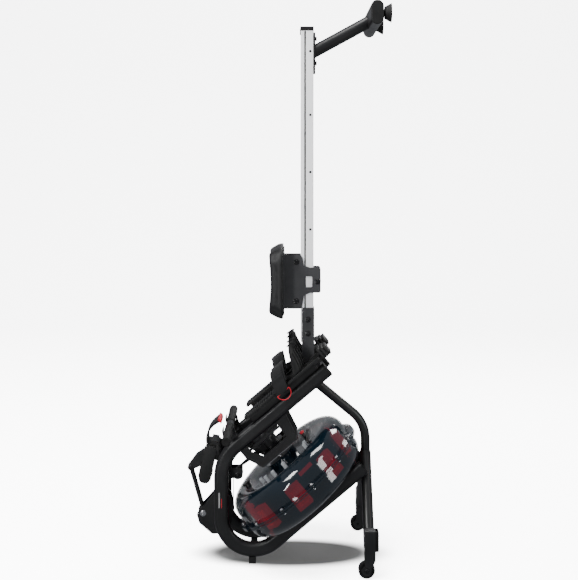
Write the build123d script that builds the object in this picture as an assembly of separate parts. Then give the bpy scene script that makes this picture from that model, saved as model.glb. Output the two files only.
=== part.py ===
"""Water rowing machine, standing upright on its front end as it is stored.

Millimetres. Z is up, X runs from the console (-X) to the rear feet (+X), Y runs across the machine.
The rail stands vertical. The tank, its bracket and the foot beams lean 40 degrees, so they are drawn in
a tilted frame: s along the beams, Y across, t at right angles to the tank's seam.
"""
import os
from math import cos, radians, sin, tan

from build123d import *

# ---------------------------------------------------------------- driving dimensions
TILT = 40.0                      # slope of the foot beams and of the tank
TANK_X, TANK_Z = 37.5, 290.8     # centre of the tank's seam
LOOP_Y = 90.0                    # side loops, left and right of the middle
LOOP_DEEP, LOOP_THICK = 55.0, 30.0
TUBE_WALL = 2.0
LOOP_FRONT_X = -244.7            # centre line of the loop's straight front
BEAM_T, LOWER_T = 254.0, -109.5  # centre lines of the foot beam and the lower beam
BEAM_END_S = 350.0
UPPER_BEND, LOWER_BEND = 155.0, 120.0

SPINE_X, SPINE_R = 295.0, 17.5   # the tube from the cross box to where the legs part
SPINE_TOP_X, SPINE_TOP_Z = 81.0, 669.0
SPINE_CORNER_Z, SPINE_KNEE_Z = 493.0, 375.0
SPINE_BEND = 130.0
LEG_X, LEG_R = 288.0, 20.0
WHEEL_X, WHEEL_Y, WHEEL_R, WHEEL_WIDE = 282.0, 225.0, 30.0, 22.0
STAND_FOOT_X, STAND_FOOT_HIGH = -129.5, 24.0

RAIL_X0, RAIL_X1, RAIL_HALF = 50.0, 98.0, 25.0
RAIL_BOTTOM, RAIL_TOP = 803.0, 1978.0
STEM_TOP = 933.0
STEM_BOLT_X, STEM_BOLT_Z = 77.0, (836.0, 888.0)

REAR_PLATE_Z = (1817.0, 1972.0)
REAR_BOLT_Z = (1857.0, 1950.0)
CROSSBAR_X, CROSSBAR_Z, CROSSBAR_HALF = 325.0, 2023.0, 180.0
CROSSBAR_DEEP, CROSSBAR_HIGH = 46.0, 88.0
LEVEL_FOOT_Y, LEVEL_FOOT_R = 160.0, 36.0
FRONT_REACH = 378.0              # the machine reaches this far each way along X

FLANGE_R, SHELL_R, SHELL_WALL = 277.0, 256.0, 4.0
SHAFT_R = 8.0
SPOOL_T, SPOOL_R = 172.0, 36.0
RUNNING_GAP = 0.05               # radial clearance of a shaft in its bearing
FREE_GAP = 0.5                   # clearance between pieces that pass each other

STRAP_WIDE, STRAP_THICK = 25.0, 1.6
PULLEY_X, PULLEY_Z, PULLEY_R = -236.0, 165.0, 31.0
GUIDE_X, GUIDE_Z, GUIDE_R = -188.0, 302.0, 17.0
HANDLE_X, HANDLE_Z, HANDLE_R, HANDLE_HALF = -218.0, 485.0, 16.5, 236.0

ARM_X, ARM_Z = -318.0, 160.0     # pivot of the console arm
KNUCKLE_X, KNUCKLE_Z, KNUCKLE_R = -366.0, 328.0, 12.0
CONSOLE_X, CONSOLE_Z, CONSOLE_TILT = -299.0, 352.0, 12.0
CONSOLE_THICK, CONSOLE_WIDE, CONSOLE_LONG = 44.0, 140.0, 138.0

PEDAL_Y, PEDAL_WIDE = 94.0, 108.0
PEDAL_S0, PEDAL_S1 = 7.0, 372.0
PEDAL_T0, PEDAL_T1 = 304.0, 320.0
HEEL_S, HEEL_R, HEEL_TOP = 256.0, 46.0, 382.0
FOOT_STRAP_S = (165.0, 222.0)
FOOT_STRAP_TOP = 378.0

CUSHION_X0, CUSHION_X1, CUSHION_HALF = -64.0, -16.0, 150.0
CUSHION_Z0, CUSHION_Z1 = 905.0, 1166.0
PLATE_Y0, PLATE_Y1 = 31.0, 34.0  # carriage cheeks, each side of the rail
UPPER_ROLLER_X, UPPER_ROLLER_R, UPPER_ROLLER_Z = 33.5, 16.0, (958.0, 1105.0)
UNDER_ROLLER_X, UNDER_ROLLER_R, UNDER_ROLLER_Z = 112.5, 14.0, 1032.0
AXLE_R = 5.0

BOTH = (-1, 1)
os.makedirs("parts", exist_ok=True)


# ---------------------------------------------------------------- helpers
def save(name, *solids):
    """Write one node; a node of several pieces keeps them as separate solids."""
    found = []
    for shape in solids:
        found += list(shape.solids())
    export_step(Compound(children=found) if len(found) > 1 else found[0], f"parts/{name}.step")


def tilt_frame(s=0.0, y=0.0, t=0.0):
    """Location of a point of the tilted frame, with its axes."""
    a = radians(TILT)
    along, up = Vector(cos(a), 0, sin(a)), Vector(-sin(a), 0, cos(a))
    origin = Vector(TANK_X, 0, TANK_Z) + along * s + Vector(0, y, 0) + up * t
    return Plane(origin=origin, x_dir=along, z_dir=up).location


def tilted(shape):
    return tilt_frame() * shape


def on_tilt(s, t):
    """World X and Z of a point of the tilted frame."""
    p = tilt_frame(s, 0, t).position
    return p.X, p.Z


def block(x0, x1, y0, y1, z0, z1):
    return Pos((x0 + x1) / 2, (y0 + y1) / 2, (z0 + z1) / 2) * Box(x1 - x0, y1 - y0, z1 - z0)


def rod(start, end, r):
    start, end = Vector(*start), Vector(*end)
    return Solid.make_cylinder(r, (end - start).length, Plane(origin=start, z_dir=end - start))


def pin_y(x, z, y0, y1, r):
    """A round bar across the machine."""
    return rod((x, y0, z), (x, y1, z), r)


def plate_y(sketch, y0, y1):
    """A sketch drawn in X and Z, thickened from y0 to y1."""
    plane = Plane(origin=(0, y1, 0), x_dir=(1, 0, 0), z_dir=(0, -1, 0))
    return extrude(plane * sketch, amount=y1 - y0, dir=(0, -1, 0))


def ring(r_out, r_in, z0, z1):
    height = z1 - z0
    return Pos(0, 0, (z0 + z1) / 2) * (Cylinder(r_out, height) - Cylinder(r_in, height + 2))


def bolt_y(x, z, y_head, y_end, r, head_r, head):
    """A bolt along Y with its head at y_head, on the side away from y_end."""
    out = 1 if y_head > y_end else -1
    return pin_y(x, z, y_end, y_head, r) + pin_y(x, z, y_head, y_head + out * head, head_r)


def oval_tube(path, deep, thick, wall):
    """Outside and inside of a flat-oval tube along a path in X and Z, with its thin way across."""
    plane = Plane(origin=path @ 0, x_dir=(0, 1, 0), z_dir=path % 0)
    outer = Rot(0, 0, 90) * SlotOverall(deep, thick)
    inner = Rot(0, 0, 90) * SlotOverall(deep - 2 * wall, thick - 2 * wall)
    return sweep(plane * outer, path=path), sweep(plane * inner, path=path)


# ---------------------------------------------------------------- frame
def leg_spine(grow=0.0):
    """Outside of the tube that runs down behind the tank to where the legs part."""
    path = FilletPolyline((SPINE_TOP_X, 0, SPINE_TOP_Z), (SPINE_X, 0, SPINE_CORNER_Z),
                          (SPINE_X, 0, SPINE_KNEE_Z), radius=SPINE_BEND)
    return sweep(Plane(origin=path @ 0, z_dir=path % 0) * Circle(SPINE_R + grow), path=path)


def leg_shape(side, grow=0.0):
    """Outside of one leg: from the spine's foot it splays out to its wheel."""
    foot = (LEG_X + 4, side * (WHEEL_Y - 2), 108)
    return rod((SPINE_X, side * 8, SPINE_KNEE_Z + 8), foot, LEG_R + grow)


def loop_path(side):
    y = side * LOOP_Y
    a = radians(TILT)
    end_x, end_z = on_tilt(BEAM_END_S, BEAM_T)
    corner_z = TANK_Z + (LOOP_FRONT_X - TANK_X) * tan(a) + BEAM_T / cos(a)
    low_corner_z = TANK_Z + (LOOP_FRONT_X - TANK_X) * tan(a) + LOWER_T / cos(a)
    low_end_x, low_end_z = on_tilt(226, LOWER_T)
    return FilletPolyline(
        (end_x, y, end_z), (LOOP_FRONT_X, y, corner_z), (LOOP_FRONT_X, y, low_corner_z),
        (low_end_x, y, low_end_z), radius=[UPPER_BEND, LOWER_BEND])


def fork_cheek(side, y_mid):
    """Side plate that carries a transport wheel, rounded about the axle."""
    outline = Polyline((LEG_X - 13, 30), (LEG_X - 13, 172), (LEG_X + 25, 172), (LEG_X + 25, 66),
                       (LEG_X + 19, 54), (WHEEL_X + 17, 40), (WHEEL_X + 17, 30), close=True)
    face = make_face(outline) + Pos(WHEEL_X, 30) * Circle(17)
    face -= Pos(WHEEL_X, 30) * Circle(AXLE_R)
    return plate_y(face, y_mid - 2, y_mid + 2)


def cross_box():
    inside = LOOP_Y - LOOP_THICK / 2
    box = block(240, 345, -inside, inside, 229, 279)
    return tilted(box), tilted(box - block(243, 342, -inside - 1, inside + 1, 232, 276))


def frame():
    loops, forks = {}, []
    solid_box, box = cross_box()
    for side, name in zip(BOTH, ("left", "right")):
        outer, inner = oval_tube(loop_path(side), LOOP_DEEP, LOOP_THICK, TUBE_WALL)
        loops[name] = outer
        save(f"side_loop_{name}", outer - inner)

        cheek_y = (WHEEL_Y - 16, WHEEL_Y + 16)
        cheeks = [fork_cheek(side, side * y) for y in cheek_y]
        top = block(LEG_X - 13, LEG_X + 25, WHEEL_Y - 18, WHEEL_Y + 18, 96, 172)
        top = top if side > 0 else mirror(top, about=Plane.XZ)
        fork = fillet((top + cheeks[0] + cheeks[1]).edges().filter_by(Axis.X).group_by(Axis.Z)[-1], 6)
        forks.append(fork)
    legs = leg_spine() + leg_shape(-1) + leg_shape(1)
    for inner in (leg_spine(-TUBE_WALL), leg_shape(-1, -TUBE_WALL), leg_shape(1, -TUBE_WALL)):
        legs -= inner
    legs = legs - solid_box - forks[0] - forks[1]
    save("rear_legs", legs.solids().sort_by(SortBy.VOLUME)[-1], *forks)

    inside = LOOP_Y - LOOP_THICK / 2
    tubes = [box, pin_y(PULLEY_X, 100, -inside, inside, 14) - pin_y(PULLEY_X, 100, -inside - 1, inside + 1, 12)]
    for s, t, r in ((-110, BEAM_T, 12.5), (-150, LOWER_T, 14), (150, LOWER_T, 14)):
        x, z = on_tilt(s, t)
        tubes.append(pin_y(x, z, -inside, inside, r) - pin_y(x, z, -inside - 1, inside + 1, r - 2))
    save("cross_members", *tubes)

    feet = []
    for side in BOTH:
        outer = loops["left"] if side < 0 else loops["right"]
        foot = block(STAND_FOOT_X - 13, STAND_FOOT_X + 13, side * LOOP_Y - 14, side * LOOP_Y + 14,
                     0, STAND_FOOT_HIGH)
        feet.append(foot - outer)
        y0, y1 = sorted((side * (WHEEL_Y - 16), side * (WHEEL_Y + 16)))
        feet.append(block(LEG_X + 25, LEG_X + 36, y0, y1, 98, 170) - leg_shape(side))
    save("floor_feet", *feet)
    return loops


def wheel_axles():
    axles = []
    for side in BOTH:
        outer_y, inner_y = side * (WHEEL_Y + 18), side * (WHEEL_Y - 18)
        axles.append(bolt_y(WHEEL_X, WHEEL_R, outer_y, inner_y, AXLE_R, 8, 4)
                     + pin_y(WHEEL_X, WHEEL_R, inner_y, inner_y - side * 5, 8))
    return axles


def tube_end_caps():
    """Plastic plugs on the foot beams, the rear crossbar and the rail."""
    caps = []
    for side in BOTH:
        cap = Pos(BEAM_END_S + 5, side * LOOP_Y, BEAM_T) * Rot(0, 90, 0) * \
            extrude(SlotOverall(LOOP_DEEP, LOOP_THICK), amount=5, both=True)
        caps.append(tilted(fillet(cap.edges().group_by(Axis.X)[-1], 4)))
        cap = crossbar_bar(CROSSBAR_HIGH, CROSSBAR_DEEP, 5)
        cap = Pos(0, side * (CROSSBAR_HALF + 5), 0) * cap
        caps.append(fillet(cap.edges().group_by(Axis.Y)[-1 if side > 0 else 0], 4))
    cap = block(RAIL_X0 - 2, RAIL_X1 + 1, -RAIL_HALF - 1, RAIL_HALF + 1, RAIL_TOP, RAIL_TOP + 16)
    cap = fillet(cap.edges().group_by(Axis.Z)[-1], 3)
    caps.append(cap + block(RAIL_X0 - 3, RAIL_X0, -16, 16, RAIL_TOP - 12, RAIL_TOP + 8))
    save("tube_end_caps", *caps)


def crossbar_bar(high, deep, half):
    """A flat-oval bar across the machine at the rear crossbar's place."""
    turn = Pos(CROSSBAR_X, 0, CROSSBAR_Z) * Rot(90, 0, 0) * Rot(0, 0, 90)
    return turn * extrude(SlotOverall(high, deep), amount=half, both=True)


def wheels():
    for side, name in zip(BOTH, ("left", "right")):
        y = side * WHEEL_Y
        half = WHEEL_WIDE / 2
        wheel = pin_y(WHEEL_X, WHEEL_R, y - half, y + half, WHEEL_R)
        wheel = fillet(wheel.edges().filter_by(GeomType.CIRCLE), 5)
        for face in BOTH:
            y0, y1 = y + face * (half - 3), y + face * (half + 1)
            wheel -= pin_y(WHEEL_X, WHEEL_R, y0, y1, 21) - pin_y(WHEEL_X, WHEEL_R, y0, y1, 9)
        wheel -= pin_y(WHEEL_X, WHEEL_R, y - 20, y + 20, AXLE_R + RUNNING_GAP)
        save(f"wheel_{name}", wheel)


# ---------------------------------------------------------------- rail
def rail_profile():
    """Aluminium section: a flange for the rollers, a groove each side, then the body."""
    face = Pos((RAIL_X0 + 63) / 2, 0) * Rectangle(63 - RAIL_X0, 2 * RAIL_HALF)
    face += Pos(66.5, 0) * Rectangle(8, 2 * RAIL_HALF - 8)
    face += Pos((70 + RAIL_X1) / 2, 0) * Rectangle(RAIL_X1 - 70, 2 * RAIL_HALF)
    face = fillet(face.vertices().group_by(Axis.X)[-1] + face.vertices().group_by(Axis.X)[0], 3)
    hollow = Pos(58.5, 0) * Rectangle(9, 2 * RAIL_HALF - 9) + Pos(83, 0) * Rectangle(22, 2 * RAIL_HALF - 9)
    return face - hollow


def rail():
    body = extrude(Pos(0, 0, RAIL_BOTTOM) * rail_profile(), amount=RAIL_TOP - RAIL_BOTTOM)
    for z in STEM_BOLT_Z:
        body -= pin_y(STEM_BOLT_X, z, -40, 40, 4)
    screws, screw_x = [], 86.0
    for z in (1228, 1444, 1660):
        for side in BOTH:
            y = side * RAIL_HALF
            body -= pin_y(screw_x, z, y - side * 6, y + side, 2)
            screws.append(pin_y(screw_x, z, y - side * 4.5, y, 2) + pin_y(screw_x, z, y, y + side * 1.5, 3.5))
    body -= pin_y(screw_x, 1900, -40, 40, 5)
    for z in REAR_BOLT_Z:
        body -= rod((90, 0, z), (110, 0, z), 4)
    save("rail", body)

    left, right = RAIL_X0 + 5, RAIL_X1 + 3
    sleeve = block(left, right, -RAIL_HALF - 4, RAIL_HALF + 4, 560, STEM_TOP)
    sleeve -= block(left - 1, RAIL_X1, -RAIL_HALF, RAIL_HALF, RAIL_BOTTOM, STEM_TOP + 1)
    sleeve -= block(left + 3, RAIL_X1, -RAIL_HALF, RAIL_HALF, 500, RAIL_BOTTOM - 4)
    sleeve -= tilted(block(0, 600, -60, 60, 0, 279))
    sleeve = chamfer(sleeve.edges().filter_by(Axis.Y).group_by(Axis.Z)[-1].sort_by(Axis.X)[-1], 2.9)
    for z in STEM_BOLT_Z:
        sleeve -= pin_y(STEM_BOLT_X, z, -40, 40, 4)
    save("rail_stem", sleeve.solids().sort_by(SortBy.VOLUME)[-1])
    bolts = []
    for z in STEM_BOLT_Z:
        bolts.append(bolt_y(STEM_BOLT_X, z, -RAIL_HALF - 4, RAIL_HALF + 4, 4, 8, 5)
                     + pin_y(STEM_BOLT_X, z, RAIL_HALF + 4, RAIL_HALF + 11, 7))
    return bolts + screws


def rear_stand():
    plate = block(RAIL_X1, RAIL_X1 + 7, -26, 26, *REAR_PLATE_Z)
    plate = fillet(plate.edges().filter_by(Axis.X), 6)
    for z in REAR_BOLT_Z:
        plate -= rod((90, 0, z), (120, 0, z), 4)
    bolts = [rod((92, 0, z), (RAIL_X1 + 7, 0, z), 4) + rod((RAIL_X1 + 7, 0, z), (RAIL_X1 + 13, 0, z), 8)
             for z in REAR_BOLT_Z]
    bar = crossbar_bar(CROSSBAR_HIGH, CROSSBAR_DEEP, CROSSBAR_HALF)
    tube = bar - crossbar_bar(CROSSBAR_HIGH - 2 * TUBE_WALL, CROSSBAR_DEEP - 2 * TUBE_WALL, CROSSBAR_HALF + 1)
    start, end = (RAIL_X1 - 20, 0, 1888.5), (CROSSBAR_X, 0, CROSSBAR_Z)
    leg = rod(start, end, 23.5) - rod((start[0] - 40, 0, start[2] - 22), end, 21.5)
    leg = leg - bar - block(0, RAIL_X1 + 7, -60, 60, 1700, 2100)
    save("rear_leg", leg.solids().sort_by(SortBy.VOLUME)[-1], plate)

    socket_x = CROSSBAR_X + CROSSBAR_DEEP / 2
    reach = FRONT_REACH - socket_x - 4.5
    for side, name in zip(BOTH, ("left", "right")):
        y = side * LEVEL_FOOT_Y
        tube += rod((socket_x - 1, y, CROSSBAR_Z), (socket_x + 4, y, CROSSBAR_Z), 9)
        tube -= rod((socket_x - 10, y, CROSSBAR_Z), (socket_x + 5, y, CROSSBAR_Z), 5 + RUNNING_GAP)
        profile = make_face(Polyline((0, 0), (9, 0), (9, 8), (19, 8), (LEVEL_FOOT_R, 18),
                                     (LEVEL_FOOT_R, reach - 1.5), (LEVEL_FOOT_R - 1.5, reach), (0, reach),
                                     close=True))
        disc = Plane(origin=(socket_x + 4.5, y, CROSSBAR_Z), x_dir=(0, 0, 1), z_dir=(0, 1, 0)) * profile
        foot = revolve(disc, axis=Axis((socket_x, y, CROSSBAR_Z), (1, 0, 0)))
        foot += rod((socket_x - 8, y, CROSSBAR_Z), (socket_x + 5, y, CROSSBAR_Z), 5)
        save(f"levelling_foot_{name}", foot)
    save("rear_crossbar", tube)
    return bolts


# ---------------------------------------------------------------- tank
def upper_dome(d):
    """Half section of the upper shell, shrunk by d: an outer wall, a bulging ring, a dip and a hub."""
    r = SHELL_R - d
    wall = Line((r, 0), (r, 42))
    crown = ThreePointArc((r, 42), (r - 15, 79 - d), (195, 95 - d))
    inward = ThreePointArc((195, 95 - d), (142, 84 - d), (100, 66 - d))
    hub = Polyline((100, 66 - d), (62 - d, 66 - d), (62 - d, 104 - d), (0, 104 - d), (0, 0), (r, 0))
    return make_face(Wire([wall, crown, inward] + list(hub.edges())))


def lower_bowl(d):
    r = SHELL_R - d
    wall = Line((r, 0), (r, -40))
    turn = ThreePointArc((r, -40), (r - 8, -62 + d), (r - 30, -78 + d))
    floor = Polyline((r - 30, -78 + d), (0, -78 + d), (0, 0), (r, 0))
    return make_face(Wire([wall, turn] + list(floor.edges())))


def tank():
    spin = Axis((0, 0, 0), (0, 0, 1))
    upright = Plane(origin=(0, 0, 0), x_dir=(1, 0, 0), z_dir=(0, -1, 0))
    screw_r = (FLANGE_R + SHELL_R) / 2 + 1
    holes = [Pos(screw_r * cos(radians(a)), screw_r * sin(radians(a)), 0) * Cylinder(2.5, 40)
             for a in range(15, 375, 30)]

    upper = revolve(upright * upper_dome(0), axis=spin) + ring(FLANGE_R, SHELL_R - 2, 0, 6)
    upper -= revolve(upright * upper_dome(SHELL_WALL), axis=spin)
    upper = Pos(0, 0, 1) * upper
    upper -= Pos(0, 0, 100) * Cylinder(SHAFT_R + FREE_GAP, 40)
    upper -= Pos(-165, 0, 90) * Cylinder(12.5, 40)
    lower = revolve(upright * lower_bowl(0), axis=spin) + ring(FLANGE_R, SHELL_R - 2, -6, 0)
    lower -= revolve(upright * lower_bowl(SHELL_WALL), axis=spin)
    lower = Pos(0, 0, -1) * lower
    lower += ring(18, SHAFT_R + RUNNING_GAP, -75.1, -56)
    for hole in holes:
        upper -= hole
        lower -= hole
    save("tank_upper_shell", tilted(upper))
    save("tank_lower_shell", tilted(lower))
    save("tank_seal", tilted(ring(SHELL_R + 4, SHELL_R - 3, -1, 1)))
    screws = []
    for a in range(15, 375, 30):
        place = Pos(screw_r * cos(radians(a)), screw_r * sin(radians(a)), 0)
        screws.append(tilted(place * (Cylinder(2.5, 14) + Pos(0, 0, 8.75) * Cylinder(6, 3.5)
                                      + Pos(0, 0, -9) * Cylinder(5.5, 4))))
    save("tank_screws", *screws)

    plug = Pos(-165, 0, 0) * (Pos(0, 0, 92) * Cylinder(12.2, 22) + Pos(0, 0, 104) * Cylinder(18, 6))
    save("tank_fill_plug", tilted(plug))

    pads = [tilted(block(s - 16, s + 16, y - 22, y + 22, LOWER_T + 14, -79))
            for s in (-150, 150) for y in (-45, 45)]
    save("tank_support_pads", *pads)


def impeller():
    shaft = Pos(0, 0, 77) * Cylinder(SHAFT_R, 290)
    save("impeller_shaft", tilted(shaft))
    wheel = ring(30, SHAFT_R, -48, 34)
    for a in range(0, 360, 60):
        wheel += Rot(0, 0, a) * block(28, 226, -2.5, 2.5, -46, 28)
    wheel += ring(150, 144, -12, 12)
    save("impeller", tilted(wheel))


def bracket():
    """Two side plates hang from the foot beams and carry the shaft above the tank."""
    inside = LOOP_Y - LOOP_THICK / 2
    outline = make_face(Polyline((-90, 266), (-90, 188), (-63, 123), (106, 123), (130, 226), (130, 266),
                                 (82, 266), (77, 155), (-34, 155), (-57, 195), (-57, 266), close=True))
    plates = []
    for side in BOTH:
        y0, y1 = sorted((side * (inside - 4), side * inside))
        plates.append(plate_y(outline, y0, y1))
    base = block(-60, 104, -inside + 4, inside - 4, 123, 128) - Pos(0, 0, 125) * Cylinder(SHAFT_R + 2, 20)
    top = block(-40, 74, -inside + 4, inside - 4, 206, 211) - Pos(0, 0, 208) * Cylinder(SHAFT_R + 2, 20)
    ends = block(-70, 92, -inside + 4, -inside + 16, 198, 206) + block(-70, 92, inside - 16, inside - 4, 198, 206)
    whole = plates[0] + plates[1] + base + top + ends
    save("tank_bracket", tilted(whole))
    save("shaft_bearings", tilted(ring(19, SHAFT_R + RUNNING_GAP, 128, 137)),
         tilted(ring(19, SHAFT_R + RUNNING_GAP, 211, 220)))
    drum = ring(46, 42, 128, 150) + ring(46, 20.5, 128, 131)
    save("recoil_housing", tilted(drum), tilted(block(50, 66, -10, 10, 128, 150)))

    spool = ring(SPOOL_R, 15, SPOOL_T - 17, SPOOL_T + 17) + ring(52, 15, SPOOL_T - 20, SPOOL_T - 16)
    spool += ring(52, 15, SPOOL_T + 16, SPOOL_T + 20)
    save("drive_spool", tilted(spool))
    save("one_way_clutch", tilted(ring(15, SHAFT_R + RUNNING_GAP, SPOOL_T - 20, SPOOL_T + 20)))


# ---------------------------------------------------------------- pull strap, pulleys and handle
def pull_gear():
    outline = Polygon((-343, 160), (-272, 238), (-214, 226), (-204, 178), (-218, 84), (-284, 82), (-333, 124),
                      align=None)
    outline = fillet(outline.vertices(), 18)
    outline -= Pos(PULLEY_X, 100) * Circle(14)
    outline -= Pos(PULLEY_X, PULLEY_Z) * Circle(AXLE_R)
    outline -= Pos(ARM_X, ARM_Z) * Circle(AXLE_R)
    brackets = [plate_y(outline, -32, -28), plate_y(outline, 28, 32)]

    bolts = [bolt_y(PULLEY_X, PULLEY_Z, -32, 32, AXLE_R, 9, 5) + pin_y(PULLEY_X, PULLEY_Z, 32, 38, 9),
             bolt_y(ARM_X, ARM_Z, -32, 32, AXLE_R, 9, 5) + pin_y(ARM_X, ARM_Z, 32, 38, 9),
             bolt_y(GUIDE_X, GUIDE_Z, -24, 24, AXLE_R, 8, 4) + pin_y(GUIDE_X, GUIDE_Z, 24, 29, 8)]

    def grooved(x, z, r, half):
        body = pin_y(x, z, -half, half, r)
        for side in BOTH:
            body += pin_y(x, z, side * (half - 3), side * half, r + 4)
        return body - pin_y(x, z, -half - 1, half + 1, AXLE_R + RUNNING_GAP)

    save("front_pulley", grooved(PULLEY_X, PULLEY_Z, PULLEY_R - STRAP_THICK / 2 - FREE_GAP, 18))
    save("guide_roller", grooved(GUIDE_X, GUIDE_Z, GUIDE_R - STRAP_THICK / 2 - FREE_GAP, 18))

    cheek = Pos(-193, 308) * RectangleRounded(46, 38, 6) - Pos(GUIDE_X, GUIDE_Z) * Circle(AXLE_R)
    box = plate_y(cheek, -24, -21) + plate_y(cheek, 21, 24)
    box += block(-234, -213, -75, 75, 292, 326) - block(-218, -200, -16, 16, 280, 340)
    box += block(-217, -213, -24, 24, 314, 326)
    save("pulley_brackets", *brackets, box)

    left, right = PULLEY_X - PULLEY_R, PULLEY_X + PULLEY_R
    top_x, top_z = GUIDE_X - GUIDE_R * sin(radians(TILT)), GUIDE_Z + GUIDE_R * cos(radians(TILT))
    shift = GUIDE_X - GUIDE_R
    round_pulley = ThreePointArc((left, 0, PULLEY_Z), (PULLEY_X, 0, PULLEY_Z - PULLEY_R), (right, 0, PULLEY_Z))
    rise = Line((right, 0, PULLEY_Z), (shift, 0, GUIDE_Z))
    mid_a = radians(155)
    round_guide = ThreePointArc((shift, 0, GUIDE_Z),
                                (GUIDE_X + GUIDE_R * cos(mid_a), 0, GUIDE_Z + GUIDE_R * sin(mid_a)),
                                (top_x, 0, top_z))
    pieces = []
    for edge in (round_pulley, rise, round_guide):
        start = Plane(origin=edge @ 0, x_dir=(0, 1, 0), z_dir=edge % 0)
        pieces.append(sweep(start * Rectangle(STRAP_WIDE, STRAP_THICK), path=edge))

    reach_s, reach_y = -12.0, -(SPOOL_R + 1.4)
    begin = Vector(top_x, 0, top_z) + Vector(cos(radians(TILT)), 0, sin(radians(TILT))) * 1.5
    finish = tilt_frame(reach_s, reach_y, SPOOL_T).position
    a = radians(TILT)
    across = Plane(origin=begin, x_dir=(0, 1, 0), z_dir=finish - begin)
    upright = Plane(origin=finish, x_dir=(-sin(a), 0, cos(a)), z_dir=finish - begin)
    twist = loft([across * Rectangle(STRAP_WIDE, STRAP_THICK), upright * Rectangle(STRAP_WIDE, STRAP_THICK)],
                 ruled=True)
    save("drive_strap", pieces[0] + pieces[1] + pieces[2], twist)

    low, high = Vector(left, 0, PULLEY_Z + 1), Vector(HANDLE_X, 0, HANDLE_Z - 24.6)
    up = Plane(origin=low, x_dir=(0, 1, 0), z_dir=high - low)
    save("strap_handle_run", extrude(up * Rectangle(STRAP_WIDE, STRAP_THICK), amount=(high - low).length))
    return bolts


def handle():
    core = pin_y(HANDLE_X, HANDLE_Z, -HANDLE_HALF + 6, HANDLE_HALF - 6, 9)
    save("handle_core", core)
    grips, ends = [], []
    for side in BOTH:
        y0, y1 = side * 26, side * (HANDLE_HALF - 6)
        grips.append(pin_y(HANDLE_X, HANDLE_Z, y0, y1, HANDLE_R) - pin_y(HANDLE_X, HANDLE_Z, y0, y1, 9))
        ends.append(pin_y(HANDLE_X, HANDLE_Z, y1, y1 + side * 6, HANDLE_R))
    save("handle_grips", *grips, *ends)
    clip = pin_y(HANDLE_X, HANDLE_Z, -26, 26, 14) + block(HANDLE_X - 5, HANDLE_X + 5, -16, 16, HANDLE_Z - 24,
                                                          HANDLE_Z)
    save("strap_clip", clip - pin_y(HANDLE_X, HANDLE_Z, -30, 30, 9))


def handle_hooks(loops):
    """Two open cradles on the loops' upper bends; the handle lifts out of them upwards."""
    hooks = []
    for side, name in zip(BOTH, ("left", "right")):
        y = side * LOOP_Y
        face = Pos(HANDLE_X, HANDLE_Z) * Circle(HANDLE_R + 8)
        foot_x, foot_z = HANDLE_X + 24, HANDLE_Z - 34
        face += make_face(Polyline((HANDLE_X - 22, HANDLE_Z - 9), (HANDLE_X + 24, HANDLE_Z),
                                   (foot_x + 12, foot_z), (foot_x - 40, foot_z - 20), close=True))
        face -= Pos(HANDLE_X, HANDLE_Z) * Circle(HANDLE_R + FREE_GAP)
        slot = 2 * (HANDLE_R + FREE_GAP)
        face -= Pos(HANDLE_X, HANDLE_Z + 40) * Rectangle(slot, 80)
        hook = plate_y(face, y - 6, y + 6) - loops[name]
        hooks.append(hook.solids().sort_by(SortBy.VOLUME)[-1])
    save("handle_hooks", *hooks)


# ---------------------------------------------------------------- console
def console_place(x=0.0, y=0.0, z=0.0):
    a = radians(CONSOLE_TILT)
    thick, long = Vector(cos(a), 0, -sin(a)), Vector(sin(a), 0, cos(a))
    origin = Vector(CONSOLE_X, 0, CONSOLE_Z) + thick * x + Vector(0, y, 0) + long * z
    return Plane(origin=origin, x_dir=thick, z_dir=long).location


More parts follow.
